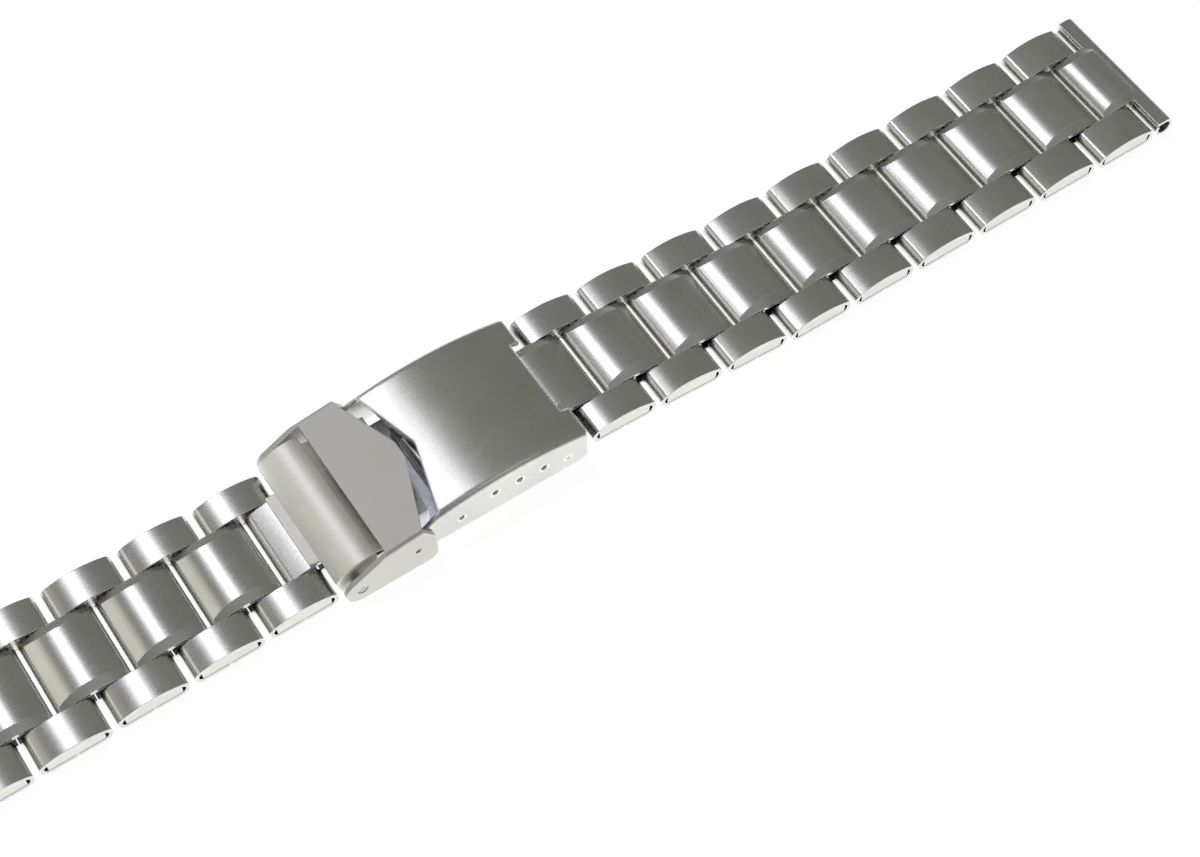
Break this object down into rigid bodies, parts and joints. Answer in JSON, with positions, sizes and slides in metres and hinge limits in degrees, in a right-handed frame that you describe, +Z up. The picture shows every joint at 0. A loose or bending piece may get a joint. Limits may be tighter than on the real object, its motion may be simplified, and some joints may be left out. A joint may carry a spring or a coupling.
{
  "type": "link watch bracelet",
  "caption": "Folded-link steel watch bracelet with a fold-over clasp, a pointed safety lock and curled spring-bar ends for a watch's lugs.",
  "frame": {"origin": "middle of the bracelet's box, on the surface that it lies on", "axes": "+X along the strap towards the end of its long half, +Y across the strap, +Z up, away from the surface, out of the links' outer face"},
  "size_m": [0.1624, 0.0184, 0.0072],
  "materials": {
    "brushed_steel": "brushed along the strap, polished bends",
    "satin_steel": "fine satin",
    "blasted_steel": "fine bead-blasted satin",
    "blade_steel": "plain rolled sheet",
    "inner_plate_steel": "sheared edge, plain",
    "pin_steel": "polished",
    "spring_steel": "drawn wire"
  },
  "bodies": {
    "clasp_base": {"lower_blade": "blade_steel", "end_cap": "blasted_steel", "strap_pin": "pin_steel", "blade_hinge_pin": "pin_steel"},
    "upper_blade": {"upper_blade": "blade_steel"},
    "cover": {"cover": "brushed_steel", "cover_hinge_pin": "pin_steel", "spring_bar_tube": "pin_steel", "spring_bar_spring": "spring_steel"},
    "spring_bar_tip_near": {"spring_bar_tip_near": "pin_steel"},
    "spring_bar_tip_far": {"spring_bar_tip_far": "pin_steel"},
    "safety_lock": {"safety_lock": "satin_steel"},
    "centre_link_long_0": {"centre_link_long_0": "brushed_steel"},
    "outer_long_1": {"outer_caps_long_1": "brushed_steel", "bridge_plate_long_1": "inner_plate_steel"},
    "centre_link_long_1": {"centre_link_long_1": "brushed_steel"},
    "outer_long_2": {"outer_caps_long_2": "brushed_steel", "bridge_plate_long_2": "inner_plate_steel"},
    "centre_link_long_2": {"centre_link_long_2": "brushed_steel"},
    "outer_long_3": {"outer_caps_long_3": "brushed_steel", "bridge_plate_long_3": "inner_plate_steel"},
    "centre_link_long_3": {"centre_link_long_3": "brushed_steel"},
    "outer_long_4": {"outer_caps_long_4": "brushed_steel", "bridge_plate_long_4": "inner_plate_steel"},
    "centre_link_long_4": {"centre_link_long_4": "brushed_steel"},
    "outer_long_5": {"outer_caps_long_5": "brushed_steel", "bridge_plate_long_5": "inner_plate_steel"},
    "centre_link_long_5": {"centre_link_long_5": "brushed_steel"},
    "outer_long_6": {"outer_caps_long_6": "brushed_steel", "bridge_plate_long_6": "inner_plate_steel"},
    "centre_link_long_6": {"centre_link_long_6": "brushed_steel"},
    "outer_long_7": {"outer_caps_long_7": "brushed_steel", "bridge_plate_long_7": "inner_plate_steel"},
    "centre_link_long_7": {"centre_link_long_7": "brushed_steel"},
    "outer_long_8": {"outer_caps_long_8": "brushed_steel", "bridge_plate_long_8": "inner_plate_steel"},
    "centre_link_long_8": {"centre_link_long_8": "brushed_steel"},
    "outer_long_9": {"outer_caps_long_9": "brushed_steel", "bridge_plate_long_9": "inner_plate_steel"},
    "end_link_long": {"end_link_long": "brushed_steel"},
    "centre_link_short_0": {"centre_link_short_0": "brushed_steel"},
    "outer_short_1": {"outer_caps_short_1": "brushed_steel", "bridge_plate_short_1": "inner_plate_steel"},
    "centre_link_short_1": {"centre_link_short_1": "brushed_steel"},
    "outer_short_2": {"outer_caps_short_2": "brushed_steel", "bridge_plate_short_2": "inner_plate_steel"},
    "centre_link_short_2": {"centre_link_short_2": "brushed_steel"},
    "outer_short_3": {"outer_caps_short_3": "brushed_steel", "bridge_plate_short_3": "inner_plate_steel"},
    "centre_link_short_3": {"centre_link_short_3": "brushed_steel"},
    "outer_short_4": {"outer_caps_short_4": "brushed_steel", "bridge_plate_short_4": "inner_plate_steel"},
    "centre_link_short_4": {"centre_link_short_4": "brushed_steel"},
    "outer_short_5": {"outer_caps_short_5": "brushed_steel", "bridge_plate_short_5": "inner_plate_steel"},
    "centre_link_short_5": {"centre_link_short_5": "brushed_steel"},
    "outer_short_6": {"outer_caps_short_6": "brushed_steel", "bridge_plate_short_6": "inner_plate_steel"},
    "end_link_short": {"end_link_short": "brushed_steel"}
  },
  "joints": [
    {"name": "clasp_open", "type": "hinge", "parent": "clasp_base", "child": "upper_blade", "pos_m": [0.00111, 0, 0.00089], "axis": [0, 1, 0], "range_deg": [0, 175]},
    {"name": "cover_hinge", "type": "hinge", "parent": "upper_blade", "child": "cover", "pos_m": [-0.01359, 0, 0.00352], "axis": [0, 1, 0], "range_deg": [-175, 0]},
    {"name": "safety_lock_open", "type": "hinge", "parent": "clasp_base", "child": "safety_lock", "pos_m": [-0.02574, 0, 0.00195], "axis": [0, -1, 0], "range_deg": [0, 110]},
    {"name": "spring_bar_tip_near_slide", "type": "slide", "parent": "cover", "child": "spring_bar_tip_near", "axis": [0, 1, 0], "range_m": [0, 0.0006], "stiffness_N_per_m": 150, "springref_m": -0.0006, "deforming": ["spring_bar_spring"]},
    {"name": "spring_bar_tip_far_slide", "type": "slide", "parent": "cover", "child": "spring_bar_tip_far", "axis": [0, -1, 0], "range_m": [0, 0.0006], "stiffness_N_per_m": 150, "springref_m": -0.0006, "deforming": ["spring_bar_spring"]},
    {"name": "centre_link_long_0_hinge", "type": "hinge", "parent": "cover", "child": "centre_link_long_0", "pos_m": [-0.00076, 0, 0.00351], "axis": [0, 1, 0], "range_deg": [-8, 7]},
    {"name": "outer_long_1_hinge", "type": "hinge", "parent": "centre_link_long_0", "child": "outer_long_1", "pos_m": [0.00533, 0, 0.00319], "axis": [0, 1, 0], "range_deg": [-15, 15]},
    {"name": "centre_link_long_1_hinge", "type": "hinge", "parent": "outer_long_1", "child": "centre_link_long_1", "pos_m": [0.00773, 0, 0.00307], "axis": [0, 1, 0], "range_deg": [-17.01, 12.99]},
    {"name": "outer_long_2_hinge", "type": "hinge", "parent": "centre_link_long_1", "child": "outer_long_2", "pos_m": [0.0138, 0, 0.00253], "axis": [0, 1, 0], "range_deg": [-15, 15]},
    {"name": "centre_link_long_2_hinge", "type": "hinge", "parent": "outer_long_2", "child": "centre_link_long_2", "pos_m": [0.01619, 0, 0.00232], "axis": [0, 1, 0], "range_deg": [-15, 15]},
    {"name": "outer_long_3_hinge", "type": "hinge", "parent": "centre_link_long_2", "child": "outer_long_3", "pos_m": [0.02227, 0, 0.00179], "axis": [0, 1, 0], "range_deg": [-15, 15]},
    {"name": "centre_link_long_3_hinge", "type": "hinge", "parent": "outer_long_3", "child": "centre_link_long_3", "pos_m": [0.02466, 0, 0.00158], "axis": [0, 1, 0], "range_deg": [-15, 15]},
    {"name": "outer_long_4_hinge", "type": "hinge", "parent": "centre_link_long_3", "child": "outer_long_4", "pos_m": [0.03074, 0, 0.00105], "axis": [0, 1, 0], "range_deg": [-9.99, 20.01]},
    {"name": "centre_link_long_4_hinge", "type": "hinge", "parent": "outer_long_4", "child": "centre_link_long_4", "pos_m": [0.03314, 0, 0.00105], "axis": [0, 1, 0], "range_deg": [-15, 15]},
    {"name": "outer_long_5_hinge", "type": "hinge", "parent": "centre_link_long_4", "child": "outer_long_5", "pos_m": [0.03924, 0, 0.00105], "axis": [0, 1, 0], "range_deg": [-15, 15]},
    {"name": "centre_link_long_5_hinge", "type": "hinge", "parent": "outer_long_5", "child": "centre_link_long_5", "pos_m": [0.04164, 0, 0.00105], "axis": [0, 1, 0], "range_deg": [-15, 15]},
    {"name": "outer_long_6_hinge", "type": "hinge", "parent": "centre_link_long_5", "child": "outer_long_6", "pos_m": [0.04774, 0, 0.00105], "axis": [0, 1, 0], "range_deg": [-15, 15]},
    {"name": "centre_link_long_6_hinge", "type": "hinge", "parent": "outer_long_6", "child": "centre_link_long_6", "pos_m": [0.05014, 0, 0.00105], "axis": [0, 1, 0], "range_deg": [-15, 15]},
    {"name": "outer_long_7_hinge", "type": "hinge", "parent": "centre_link_long_6", "child": "outer_long_7", "pos_m": [0.05624, 0, 0.00105], "axis": [0, 1, 0], "range_deg": [-15, 15]},
    {"name": "centre_link_long_7_hinge", "type": "hinge", "parent": "outer_long_7", "child": "centre_link_long_7", "pos_m": [0.05864, 0, 0.00105], "axis": [0, 1, 0], "range_deg": [-15, 15]},
    {"name": "outer_long_8_hinge", "type": "hinge", "parent": "centre_link_long_7", "child": "outer_long_8", "pos_m": [0.06474, 0, 0.00105], "axis": [0, 1, 0], "range_deg": [-15, 15]},
    {"name": "centre_link_long_8_hinge", "type": "hinge", "parent": "outer_long_8", "child": "centre_link_long_8", "pos_m": [0.06714, 0, 0.00105], "axis": [0, 1, 0], "range_deg": [-15, 15]},
    {"name": "outer_long_9_hinge", "type": "hinge", "parent": "centre_link_long_8", "child": "outer_long_9", "pos_m": [0.07324, 0, 0.00105], "axis": [0, 1, 0], "range_deg": [-15, 15]},
    {"name": "end_link_long_hinge", "type": "hinge", "parent": "outer_long_9", "child": "end_link_long", "pos_m": [0.07564, 0, 0.00105], "axis": [0, 1, 0], "range_deg": [-15, 15]},
    {"name": "centre_link_short_0_hinge", "type": "hinge", "parent": "clasp_base", "child": "centre_link_short_0", "pos_m": [-0.02574, 0, 0.00195], "axis": [0, -1, 0], "range_deg": [-3, 4.79]},
    {"name": "outer_short_1_hinge", "type": "hinge", "parent": "centre_link_short_0", "child": "outer_short_1", "pos_m": [-0.03074, 0, 0.00105], "axis": [0, -1, 0], "range_deg": [-4.79, 25.2]},
    {"name": "centre_link_short_1_hinge", "type": "hinge", "parent": "outer_short_1", "child": "centre_link_short_1", "pos_m": [-0.03314, 0, 0.00105], "axis": [0, -1, 0], "range_deg": [-15, 15]},
    {"name": "outer_short_2_hinge", "type": "hinge", "parent": "centre_link_short_1", "child": "outer_short_2", "pos_m": [-0.03924, 0, 0.00105], "axis": [0, -1, 0], "range_deg": [-15, 15]},
    {"name": "centre_link_short_2_hinge", "type": "hinge", "parent": "outer_short_2", "child": "centre_link_short_2", "pos_m": [-0.04164, 0, 0.00105], "axis": [0, -1, 0], "range_deg": [-15, 15]},
    {"name": "outer_short_3_hinge", "type": "hinge", "parent": "centre_link_short_2", "child": "outer_short_3", "pos_m": [-0.04774, 0, 0.00105], "axis": [0, -1, 0], "range_deg": [-15, 15]},
    {"name": "centre_link_short_3_hinge", "type": "hinge", "parent": "outer_short_3", "child": "centre_link_short_3", "pos_m": [-0.05014, 0, 0.00105], "axis": [0, -1, 0], "range_deg": [-15, 15]},
    {"name": "outer_short_4_hinge", "type": "hinge", "parent": "centre_link_short_3", "child": "outer_short_4", "pos_m": [-0.05624, 0, 0.00105], "axis": [0, -1, 0], "range_deg": [-15, 15]},
    {"name": "centre_link_short_4_hinge", "type": "hinge", "parent": "outer_short_4", "child": "centre_link_short_4", "pos_m": [-0.05864, 0, 0.00105], "axis": [0, -1, 0], "range_deg": [-15, 15]},
    {"name": "outer_short_5_hinge", "type": "hinge", "parent": "centre_link_short_4", "child": "outer_short_5", "pos_m": [-0.06474, 0, 0.00105], "axis": [0, -1, 0], "range_deg": [-15, 15]},
    {"name": "centre_link_short_5_hinge", "type": "hinge", "parent": "outer_short_5", "child": "centre_link_short_5", "pos_m": [-0.06714, 0, 0.00105], "axis": [0, -1, 0], "range_deg": [-15, 15]},
    {"name": "outer_short_6_hinge", "type": "hinge", "parent": "centre_link_short_5", "child": "outer_short_6", "pos_m": [-0.07324, 0, 0.00105], "axis": [0, -1, 0], "range_deg": [-15, 15]},
    {"name": "end_link_short_hinge", "type": "hinge", "parent": "outer_short_6", "child": "end_link_short", "pos_m": [-0.07564, 0, 0.00105], "axis": [0, -1, 0], "range_deg": [-15, 15]}
  ],
  "couplings": [
    {"joint": "cover_hinge", "follows": "clasp_open", "ratio": -1}
  ]
}
